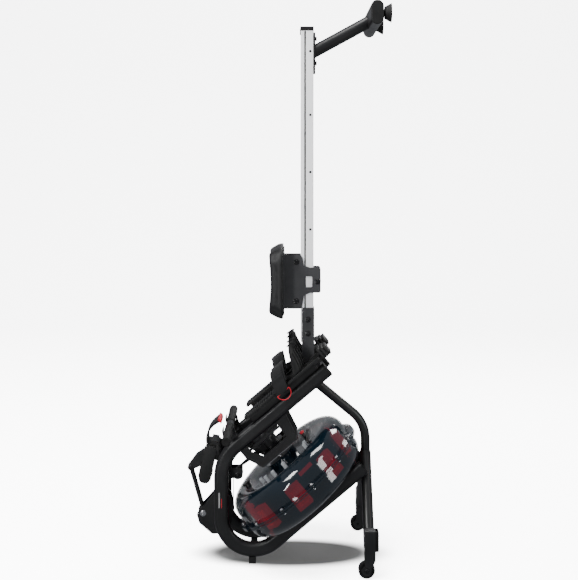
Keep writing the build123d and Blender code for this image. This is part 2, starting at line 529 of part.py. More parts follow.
def console():
    arm = rod((ARM_X, 0, ARM_Z), (KNUCKLE_X, 0, KNUCKLE_Z), 9)
    arm += pin_y(ARM_X, ARM_Z, -27, 27, 12) + pin_y(KNUCKLE_X, KNUCKLE_Z, -12, 12, KNUCKLE_R)
    arm -= pin_y(ARM_X, ARM_Z, -40, 40, AXLE_R + RUNNING_GAP)
    arm -= pin_y(KNUCKLE_X, KNUCKLE_Z, -40, 40, 4)
    pin = bolt_y(KNUCKLE_X, KNUCKLE_Z, -17, 17, 4 - RUNNING_GAP, 7, 4) \
        + pin_y(KNUCKLE_X, KNUCKLE_Z, 17, 21, 7)
    save("console_arm", arm)

    half = CONSOLE_THICK / 2
    cheek = make_face(Polyline((KNUCKLE_X - 7, KNUCKLE_Z + 10), (KNUCKLE_X + 20, KNUCKLE_Z + 46),
                               (-320, 392), (-290, 380), (-300, 346), (KNUCKLE_X + 10, KNUCKLE_Z - 7),
                               close=True))
    cheek += Pos(KNUCKLE_X, KNUCKLE_Z) * Circle(KNUCKLE_R)
    cheek -= Pos(KNUCKLE_X, KNUCKLE_Z) * Circle(4 - RUNNING_GAP)
    housing_block = console_place() * Box(CONSOLE_THICK, CONSOLE_WIDE, CONSOLE_LONG)
    hinge = plate_y(cheek, -17, -13) + plate_y(cheek, 13, 17)
    hinge += console_place(-half - 2, 0, 14) * Box(4, 60, 50)
    save("console_hinge", hinge - housing_block, pin)

    shell = Box(CONSOLE_THICK, CONSOLE_WIDE, CONSOLE_LONG)
    shell = fillet(shell.edges().filter_by(Axis.Y).group_by(Axis.Z)[0], 20)
    shell = fillet(shell.edges().filter_by(Axis.Y).group_by(Axis.Z)[-1], 8)
    shell -= Pos(0, 0, 2) * Box(CONSOLE_THICK - 6, CONSOLE_WIDE - 6, CONSOLE_LONG - 34)
    shell -= Pos(half, 0, 14) * Box(5, 112, 84)
    shell -= Pos(half, 0, -44) * Rot(0, 90, 0) * Cylinder(12.5, 12)
    shell -= Pos(-half, 0, -34) * Box(5, 80, 40)
    save("console_housing", console_place() * shell)
    save("console_screen", console_place(half - 1.3, 0, 14) * Box(2, 111, 83))
    save("battery_cover", console_place(-half + 1.2, 0, -34) * Box(2.2, 79, 39))
    button = Pos(half - 1, 0, -44) * Rot(0, 90, 0) * Cylinder(12, 7)
    save("console_button", console_place() * button)

    holder = make_face(Wire([
        ThreePointArc((-20, 69), (-27, 105), (-12, 148)), Line((-12, 148), (2, 166)),
        Line((2, 166), (12, 160)), Line((12, 160), (-5, 144)),
        ThreePointArc((-5, 144), (-20, 105), (-13, 69)), Line((-13, 69), (-20, 69))]))
    upright = Plane(origin=(0, 45, 0), x_dir=(1, 0, 0), z_dir=(0, -1, 0))
    ledge = console_place() * (Pos(8, 0, 78) * Box(26, 90, 17.9))
    save("tablet_holder", console_place() * extrude(upright * holder, amount=90, dir=(0, -1, 0)), ledge)
    pad = make_face(Polyline((2.3, 166.4), (12.4, 160.2), (17, 154), (20, 160), (14, 170), (4, 173), close=True))
    save("tablet_holder_lip", console_place() * extrude(upright * pad, amount=90, dir=(0, -1, 0)))


# ---------------------------------------------------------------- feet
def foot_rests():
    rings, straps, plates = [], [], []
    for side, name in zip(BOTH, ("left", "right")):
        y = side * PEDAL_Y
        plate = block(PEDAL_S0, PEDAL_S1, y - PEDAL_WIDE / 2, y + PEDAL_WIDE / 2, PEDAL_T0, PEDAL_T1)
        plate = fillet(plate.edges().filter_by(Axis.Z), 18)
        plates += [tilted(plate), tilted(block(20, 335, side * LOOP_Y - 12, side * LOOP_Y + 12, BEAM_T + 20,
                                               PEDAL_T0)) - straight_beam(side)]

        base = PEDAL_T1 + 0.4
        cup = ring(HEEL_R, HEEL_R - 4, base, HEEL_TOP) + ring(HEEL_R, 0.001, base, base + 4)
        cup = Pos(HEEL_S, y, 0) * cup
        wing = Plane(origin=(HEEL_S - 26, y, base + 4), x_dir=(0, 1, 0), z_dir=(-1, 0, 0.72))
        cup = split(cup, bisect_by=wing, keep=Keep.BOTTOM)
        save(f"heel_cup_{name}", tilted(cup))

        s0, s1 = FOOT_STRAP_S
        half = PEDAL_WIDE / 2 + 1
        upright = Plane(origin=(s0, y, 0), x_dir=(0, 1, 0), z_dir=(1, 0, 0))
        arch = Pos(0, (306 + FOOT_STRAP_TOP) / 2) * Rectangle(2 * half + 8, FOOT_STRAP_TOP - 306)
        arch = fillet(arch.vertices().group_by(Axis.Y)[-1], 40)
        hole = Pos(0, (300 + FOOT_STRAP_TOP - 4) / 2) * Rectangle(2 * half, FOOT_STRAP_TOP - 4 - 300)
        hole = fillet(hole.vertices().group_by(Axis.Y)[-1], 36)
        straps.append(tilted(extrude(upright * (arch - hole), amount=s1 - s0)))

        out_y = y + side * (half + 4)
        mid_s = (s0 + s1) / 2
        cord = Solid.make_torus(25, 3, Plane(origin=(mid_s, out_y + side * 3.2, 306), z_dir=(0, 1, 0)))
        rings.append(tilted(split(cord, bisect_by=Plane.XY.offset(308), keep=Keep.BOTTOM)))
        straps.append(tilted(block(mid_s - 24, mid_s + 24, *sorted((out_y, out_y + side * 5)), 309, 332)))
    for node, shapes in (("strap_pull_rings", rings), ("foot_straps", straps), ("footplates", plates)):
        save(node, *shapes)


def straight_beam(side):
    """The straight stretch of a foot beam, to cut what stands on it."""
    bar = Pos((BEAM_END_S - 150) / 2, side * LOOP_Y, BEAM_T) * Rot(0, 90, 0) * \
        extrude(SlotOverall(LOOP_DEEP, LOOP_THICK), amount=(BEAM_END_S + 150) / 2, both=True)
    return tilted(bar)


# ---------------------------------------------------------------- seat
def seat():
    cushion = block(CUSHION_X0, CUSHION_X1, -CUSHION_HALF, CUSHION_HALF, CUSHION_Z0, CUSHION_Z1)
    cushion = fillet(cushion.edges().filter_by(Axis.X), 45)
    cushion = fillet(cushion.faces().sort_by(Axis.X)[0].edges(), 14)
    save("seat_cushion", cushion)
    base = block(CUSHION_X1 + 0.3, CUSHION_X1 + 4, -110, 110, 915, 1155)
    base = fillet(base.edges().filter_by(Axis.X), 20)

    web_x = CUSHION_X1 + 4
    outline = Polyline((web_x, 930), (web_x, 1133), (48, 1133), (56, 1122), (62, 1092), (84, 1085), (120, 1085),
                       (125, 1080), (125, 995), (120, 990), (84, 990), (62, 980), (54, 936), (48, 930),
                       close=True)
    face = make_face(outline) - Pos(79.5, 1031.5) * RectangleRounded(27, 41, 4)
    axle_places = [(UPPER_ROLLER_X, z) for z in UPPER_ROLLER_Z] + [(UNDER_ROLLER_X, UNDER_ROLLER_Z)]
    for x, z in axle_places:
        face -= Pos(x, z) * Circle(AXLE_R)
    carriage = plate_y(face, -PLATE_Y1, -PLATE_Y0) + plate_y(face, PLATE_Y0, PLATE_Y1)
    carriage += block(web_x, web_x + 3, -PLATE_Y1, PLATE_Y1, 930, 1133)
    save("seat_carriage", carriage, base)

    axles = [bolt_y(x, z, -PLATE_Y1, PLATE_Y1, AXLE_R, 8, 4) + pin_y(x, z, PLATE_Y1, PLATE_Y1 + 5, 8)
             for x, z in axle_places]
    save("roller_axles", *axles)
    names = ("seat_roller_lower", "seat_roller_upper", "seat_roller_under")
    for name, (x, z), r in zip(names, axle_places, (UPPER_ROLLER_R, UPPER_ROLLER_R, UNDER_ROLLER_R)):
        roller = pin_y(x, z, -22, 22, r)
        roller = fillet(roller.edges().filter_by(GeomType.CIRCLE), 2)
        save(name, roller - pin_y(x, z, -30, 30, AXLE_R + RUNNING_GAP))


side_loops = frame()
wheels()
save("frame_bolts", *wheel_axles(), *rail(), *rear_stand(), *pull_gear())
tube_end_caps()
tank()
impeller()
bracket()
handle()
handle_hooks(side_loops)
console()
foot_rests()
seat()
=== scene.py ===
"""Looks of a water rowing machine stored upright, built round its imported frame.

Metres. Z is up, X runs from the console (-X) to the rear feet (+X), Y runs across the machine.
"""
import math

import bmesh
import bpy
from mathutils import Matrix, Vector


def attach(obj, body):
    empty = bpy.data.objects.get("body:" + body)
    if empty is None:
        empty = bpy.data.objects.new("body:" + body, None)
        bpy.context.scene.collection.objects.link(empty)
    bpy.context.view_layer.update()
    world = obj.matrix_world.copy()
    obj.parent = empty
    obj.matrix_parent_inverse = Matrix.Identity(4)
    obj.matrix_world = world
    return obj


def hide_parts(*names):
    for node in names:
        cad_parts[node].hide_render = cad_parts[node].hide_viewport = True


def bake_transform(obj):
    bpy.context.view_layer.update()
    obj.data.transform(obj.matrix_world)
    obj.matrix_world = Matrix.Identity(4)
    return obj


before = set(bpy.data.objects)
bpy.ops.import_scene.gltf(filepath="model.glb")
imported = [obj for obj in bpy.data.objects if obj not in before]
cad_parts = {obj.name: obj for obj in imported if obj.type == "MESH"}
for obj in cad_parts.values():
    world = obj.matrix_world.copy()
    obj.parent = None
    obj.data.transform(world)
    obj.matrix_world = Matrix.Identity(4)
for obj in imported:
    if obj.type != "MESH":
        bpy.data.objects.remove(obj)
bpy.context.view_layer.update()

MM = 0.001
BOTH = (-1, 1)
NAMES = {-1: "left", 1: "right"}

# The tank, its bracket and the foot beams lean: s runs along the beams, t at right angles to them.
LEAN = Matrix.Translation((0.0375, 0, 0.2908)) @ Matrix.Rotation(math.radians(-40), 4, "Y")
# The console's own frame: thickness, width, length.
CONSOLE = Matrix.Translation((-0.299, 0, 0.352)) @ Matrix.Rotation(math.radians(12), 4, "Y")
UPRIGHT = Matrix.Identity(4)

# Places and sizes that several pieces share, in millimetres.
SADDLE_Z, SADDLE_HALF_Y, SADDLE_HALF_Z, SADDLE_CORNER = 1035.5, 148, 130.5, 44
CLOTH_FRAMES, CLOTH_REACH = 20, 3               # how long the saddle's skin settles, and how far it may move
PEDAL_Y = 94
HEEL_S, HEEL_R = 262, 45                        # the heel cup's axis along the pedal, and its radius
GRIP_X, GRIP_Z = -218, 485
WHEEL_X, WHEEL_Y, WHEEL_Z = 282, 225, 30
FOOT_Y, FOOT_Z = 160, 2023
RIM_SCREWS, RIM_SCREW_R = 12, 265


# ---------------------------------------------------------------- choosing faces and edges
def everything(middle, way):
    return True


def top(middle, normal):
    return normal.z > 0.9


def bottom(middle, normal):
    return normal.z < -0.9


def rear(middle, normal):
    return normal.x > 0.9


def upright_edge(middle, along):
    return abs(along.z) > 0.9


def lengthwise_edge(middle, along):
    return abs(along.x) > 0.9


def crosswise_edge(middle, along):
    return abs(along.y) > 0.9


# ---------------------------------------------------------------- making pieces
def pick(obj):
    """Selects obj alone and makes it the active object."""
    bpy.ops.object.select_all(action="DESELECT")
    obj.select_set(True)
    bpy.context.view_layer.objects.active = obj


def begin(kind, place=(0, 0, 0), turn=(0, 0, 0), stretch=(1, 1, 1), **options):
    """Adds a primitive with its place in millimetres, and nothing else selected."""
    bpy.ops.object.select_all(action="DESELECT")
    getattr(bpy.ops.mesh, f"primitive_{kind}_add")(location=Vector(place) * MM, rotation=turn, **options)
    obj = bpy.context.object
    obj.scale = Vector(stretch)
    bpy.ops.object.transform_apply(location=True, rotation=True, scale=True)
    return obj


def slab(x0, x1, y0, y1, z0, z1):
    """A cube primitive drawn out to these limits, in millimetres."""
    return begin("cube", ((x0 + x1) / 2, (y0 + y1) / 2, (z0 + z1) / 2), size=MM,
                 stretch=(x1 - x0, y1 - y0, z1 - z0))


def drum(start, end, radius, sides=48):
    """A cylinder primitive from start to end, in millimetres."""
    start, end = Vector(start), Vector(end)
    turn = (end - start).to_track_quat("Z", "Y").to_euler()
    return begin("cylinder", (start + end) / 2, turn=turn, radius=radius * MM,
                 depth=(end - start).length * MM, vertices=sides)


def shape(obj, choose, *steps, mode="FACE"):
    """In edit mode, selects what choose takes, by its middle in millimetres and its normal or the way
    that it runs, and runs the steps."""
    pick(obj)
    bpy.ops.object.mode_set(mode="EDIT")
    bpy.ops.mesh.select_mode(type=mode)
    bpy.ops.mesh.select_all(action="DESELECT")
    mesh = bmesh.from_edit_mesh(obj.data)
    if mode == "FACE":
        for face in mesh.faces:
            face.select_set(bool(choose(face.calc_center_median() / MM, face.normal)))
    elif mode == "EDGE":
        for edge in mesh.edges:
            middle = (edge.verts[0].co + edge.verts[1].co) / 2 / MM
            along = (edge.verts[1].co - edge.verts[0].co).normalized()
            edge.select_set(bool(choose(middle, along)))
    else:
        for vert in mesh.verts:
            vert.select_set(bool(choose(vert.co / MM, vert.normal)))
    bmesh.update_edit_mesh(obj.data)
    for step in steps:
        step()
    bpy.ops.object.mode_set(mode="OBJECT")
    return obj


def inset(thick, deep=0.0, each=False):
    """Draws the chosen faces in from their edges, each or as one patch."""
    return lambda: bpy.ops.mesh.inset(thickness=thick * MM, depth=deep * MM, use_individual=each)


def push(amount):
    """Extrudes the chosen faces along their normals."""
    return lambda: bpy.ops.mesh.extrude_region_shrink_fatten(
        MESH_OT_extrude_region={}, TRANSFORM_OT_shrink_fatten={"value": amount * MM})


def move(x, y, z, extrude=False):
    """Moves what is chosen, or extrudes it that far."""
    offset = Vector((x, y, z)) * MM
    if extrude:
        return lambda: bpy.ops.mesh.extrude_region_move(TRANSFORM_OT_translate={"value": offset})
    return lambda: bpy.ops.transform.translate(value=offset)


def scaled(x, y, z, centre):
    """Scales what is chosen about a point in millimetres."""
    return lambda: bpy.ops.transform.resize(value=(x, y, z), center_override=Vector(centre) * MM)


def rounded(amount, segments=3):
    """Rounds the chosen edges to this radius."""
    return lambda: bpy.ops.mesh.bevel(offset=amount * MM, segments=segments, profile=0.5, affect="EDGES")


def use(obj, kind, **settings):
    """Adds a modifier, sets it and applies it."""
    pick(obj)
    modifier = obj.modifiers.new(kind.title(), kind)
    for key, value in settings.items():
        setattr(modifier, key, value)
    bpy.ops.object.modifier_apply(modifier=modifier.name)
    return obj


def soften(obj, width, segments=2, angle=30):
    """Rounds the hard edges."""
    return use(obj, "BEVEL", width=width * MM, segments=segments, limit_method="ANGLE",
               angle_limit=math.radians(angle), harden_normals=False)


def joined(*objs):
    """Makes one mesh of several."""
    bpy.ops.object.select_all(action="DESELECT")
    for obj in objs:
        obj.select_set(True)
    bpy.context.view_layer.objects.active = objs[0]
    bpy.ops.object.join()
    return objs[0]


def turned(obj, degrees, axis="Z", place=(0, 0, 0)):
    """Turns a mesh about an axis through the origin and then moves it by millimetres."""
    obj.data.transform(Matrix.Translation(Vector(place) * MM) @ Matrix.Rotation(
        math.radians(degrees), 4, axis))
    return obj


def carved(obj, cutter):
    """Takes the cutter away from obj."""
    use(obj, "BOOLEAN", operation="DIFFERENCE", object=cutter, solver="EXACT")
    bpy.data.objects.remove(cutter)
    return obj


def piece(obj, name, body, material, place=UPRIGHT, smooth=35, stands_for=()):
    """Names a finished mesh, puts it in its place and hands it to its body."""
    obj.data.transform(place)
    obj.name = obj.data.name = name
    obj.data.materials.clear()
    obj.data.materials.append(material)
    pick(obj)
    if smooth:
        bpy.ops.object.shade_smooth_by_angle(angle=math.radians(smooth))
    if stands_for:
        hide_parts(*stands_for)
    if body:
        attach(obj, body)
    return obj


# ---------------------------------------------------------------- materials
def linear(code):
    """An sRGB hex colour as linear RGBA."""
    parts = [int(code[i:i + 2], 16) / 255 for i in (1, 3, 5)]
    return [p / 12.92 if p <= 0.04045 else ((p + 0.055) / 1.055) ** 2.4 for p in parts] + [1.0]


def add(material, kind, inputs=None, **settings):
    """Adds a node; an input is given a value or linked to another node's output."""
    node = material.node_tree.nodes.new(kind)
    for key, value in settings.items():
        setattr(node, key, value)
    for key, value in (inputs or {}).items():
        if isinstance(value, bpy.types.NodeSocket):
            material.node_tree.links.new(value, node.inputs[key])
        else:
            node.inputs[key].default_value = value
    return node


def new_material(name):
    material = bpy.data.materials.new(name)
    material.use_nodes = True
    material.node_tree.nodes.clear()
    return material


def close_material(material, **sockets):
    """The surface shader and the output. Underscores in the socket names stand for spaces."""
    shader = add(material, "ShaderNodeBsdfPrincipled", {k.replace("_", " "): v for k, v in sockets.items()})
    add(material, "ShaderNodeOutputMaterial", {"Surface": shader.outputs[0]})
    return material


def grained(name, dark, light, grain, bump, rough, metallic=0.0, patch=40.0, level=0.5, **sockets):
    """A finish with a fine even grain in its relief and broad, faint changes of tone and gloss.

    grain and patch are sizes in millimetres, bump is the relief's depth in millimetres."""
    m = new_material(name)
    where = add(m, "ShaderNodeTexCoord").outputs["Object"]
    fine = add(m, "ShaderNodeTexNoise", {"Vector": where, "Scale": 1000 / grain, "Detail": 2.0, "Roughness": 0.6})
    broad = add(m, "ShaderNodeTexNoise", {"Vector": where, "Scale": 1000 / patch, "Detail": 4.0})
    mixed = add(m, "ShaderNodeMath", {0: fine.outputs["Fac"], 1: broad.outputs["Fac"]}, operation="MULTIPLY")
    tone = add(m, "ShaderNodeMix", {"Factor": add(m, "ShaderNodeMapRange", {
        "Value": mixed.outputs[0], "From Min": 0.12, "From Max": 0.42}).outputs[0],
        "A": linear(dark), "B": linear(light)}, data_type="RGBA")
    gloss = add(m, "ShaderNodeMapRange", {"Value": broad.outputs["Fac"], "From Min": 0.3, "From Max": 0.7,
                                          "To Min": rough - 0.05, "To Max": rough + 0.07})
    relief = add(m, "ShaderNodeBump", {"Height": fine.outputs["Fac"], "Distance": bump * MM, "Strength": 1.0})
    return close_material(m, Base_Color=tone.outputs["Result"], Roughness=gloss.outputs[0], Metallic=metallic,
                          Specular_IOR_Level=level, Normal=relief.outputs[0], **sockets)


# Powder-coated steel tube: baked satin black with a faint orange peel that breaks up the highlights.
powder_coat = grained("satin_black_powder_coat", "#141415", "#1e1e1f", 1.6, 0.05, 0.33, patch=90, level=0.4)
# Powder-coated sheet steel, a greyer and coarser batch than the tubes'.
plate_coat = grained("gunmetal_powder_coat", "#353537", "#454547", 1.4, 0.08, 0.46, patch=60, level=0.4)
# Moulded ABS with a spark-eroded grain: matt, slightly greyer on its high spots.
moulded_abs = grained("grained_black_abs", "#0e0e0e", "#191919", 1.0, 0.08, 0.5, patch=50, level=0.35)
# Smooth injection-moulded nylon for rollers, pulleys and clips.
nylon = grained("black_nylon", "#0b0b0c", "#151516", 1.2, 0.02, 0.3, patch=25, level=0.4)
# Vulcanised rubber: dull, with a dusty bloom.
rubber = grained("black_rubber", "#0d0d0d", "#1a1a1a", 1.1, 0.09, 0.64, patch=18, level=0.3)
# Closed-cell foam sleeve: tiny open pores at the skin.
foam = grained("nitrile_foam", "#0e0e0e", "#1c1c1c", 1.5, 0.22, 0.78, patch=14, level=0.3)
# Moulded polyurethane skin of the saddle: soft leather-like grain.
saddle_skin = grained("polyurethane_skin", "#141415", "#242425", 1.8, 0.14, 0.5, patch=35, level=0.35)
# Zinc-plated steel: bright, faintly mottled.
zinc = grained("zinc_plated_steel", "#9d9da0", "#cbccce", 1.5, 0.03, 0.26, metallic=1.0, patch=12)
# Black-oxide screws: dark, oily metal.
black_oxide = grained("black_oxide_steel", "#18181a", "#2c2c2e", 1.2, 0.03, 0.28, metallic=0.5, patch=10)
# Red silicone rubber on the pull rings and the tablet lip.
red_rubber = grained("red_silicone", "#c01226", "#dc2138", 1.3, 0.06, 0.45, patch=20)
# Pale grey acrylic trim on the tank's top.
pale_trim = grained("pale_grey_acrylic", "#8d9296", "#b4b8bb", 2.0, 0.04, 0.22, patch=20)
# Navy ABS of the impeller's hub. It also gives the tank the dark of the dyed water, which isn't modelled.
hub_navy = grained("navy_abs", "#06121a", "#0d2430", 9.0, 0.3, 0.22, patch=60, level=0.4)
# Screen-printed ink: flat, slightly raised.
white_ink = grained("white_screen_ink", "#c9c9c9", "#e2e2e2", 1.0, 0.02, 0.5, patch=15)


def anodised():
    """Silver anodised aluminium extrusion: die lines along its length, a soft broad reflection."""
    m = new_material("silver_anodised_aluminium")
    where = add(m, "ShaderNodeTexCoord").outputs["Object"]
    lines = add(m, "ShaderNodeMapping", {"Vector": where, "Scale": (1.0, 1.0, 0.004)})
    drawn = add(m, "ShaderNodeTexNoise", {"Vector": lines.outputs[0], "Scale": 700.0, "Detail": 3.0})
    cloud = add(m, "ShaderNodeTexNoise", {"Vector": where, "Scale": 9.0, "Detail": 3.0})
    tone = add(m, "ShaderNodeMix", {"Factor": drawn.outputs["Fac"], "A": linear("#eeeeef"),
                                    "B": linear("#fbfbfc")}, data_type="RGBA")
    gloss = add(m, "ShaderNodeMapRange", {"Value": cloud.outputs["Fac"], "To Min": 0.34, "To Max": 0.5})
    relief = add(m, "ShaderNodeBump", {"Height": drawn.outputs["Fac"], "Distance": 0.02 * MM})
    return close_material(m, Base_Color=tone.outputs["Result"], Metallic=0.2, Roughness=gloss.outputs[0],
                          Normal=relief.outputs[0])


def smoked():
    """Blow-moulded smoked polycarbonate: navy-grey, half see-through, deep gloss, slow waves in the wall."""
    m = new_material("smoked_polycarbonate")
    where = add(m, "ShaderNodeTexCoord").outputs["Object"]
    wave = add(m, "ShaderNodeTexNoise", {"Vector": where, "Scale": 12.0, "Detail": 1.0})
    haze = add(m, "ShaderNodeTexNoise", {"Vector": where, "Scale": 60.0, "Detail": 4.0})
    tone = add(m, "ShaderNodeMix", {"Factor": wave.outputs["Fac"], "A": linear("#04121a"),
                                    "B": linear("#10202b")}, data_type="RGBA")
    gloss = add(m, "ShaderNodeMapRange", {"Value": haze.outputs["Fac"], "To Min": 0.03, "To Max": 0.08})
    relief = add(m, "ShaderNodeBump", {"Height": wave.outputs["Fac"], "Distance": 2.0 * MM, "Strength": 0.6})
    return close_material(m, Base_Color=tone.outputs["Result"], Roughness=gloss.outputs[0], IOR=1.58,
                          Alpha=0.75, Coat_Weight=1.0, Coat_Roughness=0.02, Normal=relief.outputs[0])


def paddles():
    """Red-dyed ABS of the impeller's paddles, wet and glossy. The emission makes up for the light that the
    blended wall in front of it takes away; the real plastic doesn't glow."""
    m = new_material("wet_red_abs")
    where = add(m, "ShaderNodeTexCoord").outputs["Object"]
    cloud = add(m, "ShaderNodeTexNoise", {"Vector": where, "Scale": 16.0, "Detail": 3.0})
    tone = add(m, "ShaderNodeMix", {"Factor": cloud.outputs["Fac"], "A": linear("#8c0014"),
                                    "B": linear("#d2102e")}, data_type="RGBA")
    relief = add(m, "ShaderNodeBump", {"Height": cloud.outputs["Fac"], "Distance": 0.4 * MM})
    return close_material(m, Base_Color=tone.outputs["Result"], Roughness=0.22, Normal=relief.outputs[0],
                          Emission_Color=tone.outputs["Result"], Emission_Strength=3.0)


def webbing():
    """Woven nylon webbing: fine ribs across a plain weave, with a little sheen."""
    m = new_material("woven_nylon_webbing")
    where = add(m, "ShaderNodeTexCoord").outputs["Object"]
    weave_a = add(m, "ShaderNodeTexWave", {"Vector": where, "Scale": 95.0, "Distortion": 0.4,
                                           "Detail": 1.0}, bands_direction="Y")
    weave_b = add(m, "ShaderNodeTexWave", {"Vector": where, "Scale": 80.0, "Distortion": 0.4,
                                           "Detail": 1.0}, bands_direction="Z")
    both = add(m, "ShaderNodeMath", {0: weave_a.outputs["Fac"], 1: weave_b.outputs["Fac"]}, operation="MAXIMUM")
    tone = add(m, "ShaderNodeMix", {"Factor": both.outputs[0], "A": linear("#0b0b0c"), "B": linear("#1f1f20")},
               data_type="RGBA")
    relief = add(m, "ShaderNodeBump", {"Height": both.outputs[0], "Distance": 0.35 * MM})
    return close_material(m, Base_Color=tone.outputs["Result"], Roughness=0.85, Sheen_Weight=0.08,
                          Specular_IOR_Level=0.3,
                          Normal=relief.outputs[0])


def display():
    """Hard-coated polycarbonate window over a grey-green liquid crystal panel."""
    m = new_material("lcd_window")
    where = add(m, "ShaderNodeTexCoord").outputs["Object"]
    cell = add(m, "ShaderNodeTexNoise", {"Vector": where, "Scale": 30.0, "Detail": 2.0})
    tone = add(m, "ShaderNodeMix", {"Factor": cell.outputs["Fac"], "A": linear("#39423c"),
                                    "B": linear("#525c55")}, data_type="RGBA")
    return close_material(m, Base_Color=tone.outputs["Result"], Roughness=0.12, Coat_Weight=0.7,
                          Coat_Roughness=0.04)


aluminium, smoked_shell, paddle_red = anodised(), smoked(), paddles()
nylon_web, lcd = webbing(), display()

FINISHES = {
    powder_coat: ("side_loop_left", "side_loop_right", "rear_legs", "cross_members", "rear_leg",
                  "rear_crossbar", "pulley_brackets", "tank_bracket", "console_arm", "console_hinge"),
    plate_coat: ("seat_carriage", "rail_stem"),
    aluminium: ("rail",),
    zinc: ("impeller_shaft", "handle_core", "shaft_bearings", "one_way_clutch", "tank_screws"),
    black_oxide: ("roller_axles", "frame_bolts"),
    rubber: ("floor_feet", "levelling_foot_left", "levelling_foot_right", "tank_seal", "tank_support_pads",
             "wheel_left", "wheel_right"),
    moulded_abs: ("tube_end_caps", "recoil_housing", "console_housing", "battery_cover", "tablet_holder",
                  "footplates", "heel_cup_left", "heel_cup_right"),
    nylon: ("drive_spool", "front_pulley", "guide_roller", "strap_clip", "handle_hooks", "tank_fill_plug",
            "seat_roller_lower", "seat_roller_upper", "seat_roller_under", "console_button"),
    smoked_shell: ("tank_upper_shell", "tank_lower_shell"),
    paddle_red: ("impeller",),
    nylon_web: ("drive_strap", "strap_handle_run", "foot_straps"),
    foam: ("handle_grips",),
    saddle_skin: ("seat_cushion",),
    red_rubber: ("strap_pull_rings", "tablet_holder_lip"),
    lcd: ("console_screen",),
}
for finish, nodes in FINISHES.items():
    for name in nodes:
        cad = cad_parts[name]
        if not cad.material_slots:
            cad.data.materials.append(finish)
        for place in cad.material_slots:
            place.material = finish


# ---------------------------------------------------------------- seat
def saddle_point(x, y, z):
    """Where a point of the saddle's plain block goes: hollow across and along, with the ends rolled up."""
    across, along = y / 150, (z - SADDLE_Z) / SADDLE_HALF_Z
    front = (x + 16) / -48                      # 0 at the base, 1 at the sitting surface
    hollow = 11 * (1 - along ** 2) * (1 - 0.35 * abs(across)) + 3 * (1 - across ** 2)
    x += front * hollow
    z -= along * 15 * front ** 1.5              # the end faces lean in towards the sitting surface
    y *= 1 - 0.05 * front * along ** 2 - 0.03 * front
    return x, y, z


def saddle():
    """The cushion: a plain block that is hollowed, inflated a little as cloth and put on its backing."""
    pad = slab(-69, -17.5, -SADDLE_HALF_Y, SADDLE_HALF_Y, 900, 1168)
    shape(pad, everything, lambda: bpy.ops.mesh.subdivide(number_cuts=11))
    flat_y, flat_z = SADDLE_HALF_Y - SADDLE_CORNER, SADDLE_HALF_Z - SADDLE_CORNER
    for vert in pad.data.vertices:
        x, y, z = vert.co / MM
        dy, dz = abs(y) - flat_y, abs(z - SADDLE_Z) - flat_z
        if dy > 0 and dz > 0:                   # round plan corners
            far = max(dy, dz) / math.hypot(dy, dz)
            y = math.copysign(flat_y + dy * far, y)
            z = SADDLE_Z + math.copysign(flat_z + dz * far, z - SADDLE_Z)
        vert.co = Vector(saddle_point(x, y, z)) * MM
    use(pad, "BEVEL", width=5 * MM, segments=4, limit_method="ANGLE", angle_limit=math.radians(50))
    use(pad, "REMESH", mode="VOXEL", voxel_size=4.5 * MM)
    rest = [v.co.copy() for v in pad.data.vertices]
    held = pad.vertex_groups.new(name="base")
    held.add([v.index for v in pad.data.vertices if v.co.x > -21 * MM], 1.0, "ADD")
    cloth = pad.modifiers.new("Cloth", "CLOTH")
    cloth.settings.use_pressure = True
    cloth.settings.uniform_pressure_force = 4.0
    cloth.settings.effector_weights.gravity = 0.0
    cloth.settings.vertex_group_mass = "base"
    bpy.context.scene.frame_start, bpy.context.scene.frame_end = 1, CLOTH_FRAMES
    for step in range(1, CLOTH_FRAMES + 1):
        bpy.context.scene.frame_set(step)
    pick(pad)
    bpy.ops.object.modifier_apply(modifier="Cloth")
    bpy.context.scene.frame_set(1)
    pad.vertex_groups.clear()
    for vert, at in zip(pad.data.vertices, rest):
        step = vert.co - at
        if step.length > CLOTH_REACH * MM:
            vert.co = at + step.normalized() * CLOTH_REACH * MM
    use(pad, "SMOOTH", factor=0.5, iterations=3)
    use(pad, "SUBSURF", levels=1, render_levels=1)
    piece(pad, "saddle_cushion", "seat", saddle_skin, smooth=60, stands_for=("seat_cushion",))

    rim = slab(-19.5, -15.8, -SADDLE_HALF_Y, SADDLE_HALF_Y, 905.5, 1165.5)
    shape(rim, lengthwise_edge, rounded(SADDLE_CORNER, 10), mode="EDGE")
    soften(rim, 1.6, 3)
    piece(rim, "saddle_backing", "seat", moulded_abs)


def carriage_details():
    """Hex-socket screws and their washers where the rollers' axles and the saddle are fixed."""
    for x, z, radius in ((33.5, 958, 8), (33.5, 1105, 8), (112.5, 1032, 8)):
        for side in BOTH:
            screw = socket_screw((x, side * 34, z), (0, side, 0), radius, 4.5)
            piece(screw, f"axle_screw_{int(x)}_{z}_{NAMES[side]}", "seat", black_oxide, smooth=40)


def socket_screw(place, out, radius, high):
    """A button-head screw: domed head with a hex socket and a washer under it."""
    direction = Vector(out)
    at = Vector(place)
    head = drum(at, at + direction * high, radius, 32)
    shape(head, lambda m, n: n.dot(direction) > 0.9, inset(radius * 0.12), move(*(direction * high * 0.22)),
          inset(radius * 0.36))
    socket = drum(at + direction * high * 0.25, at + direction * (high + 4), radius * 0.45, 6)
    carved(head, socket)
    soften(head, radius * 0.06, 2, 25)
    washer = drum(at - direction * 0.2, at + direction * 0.9, radius * 1.35, 32)
    soften(washer, 0.3, 2)
    return joined(head, washer)


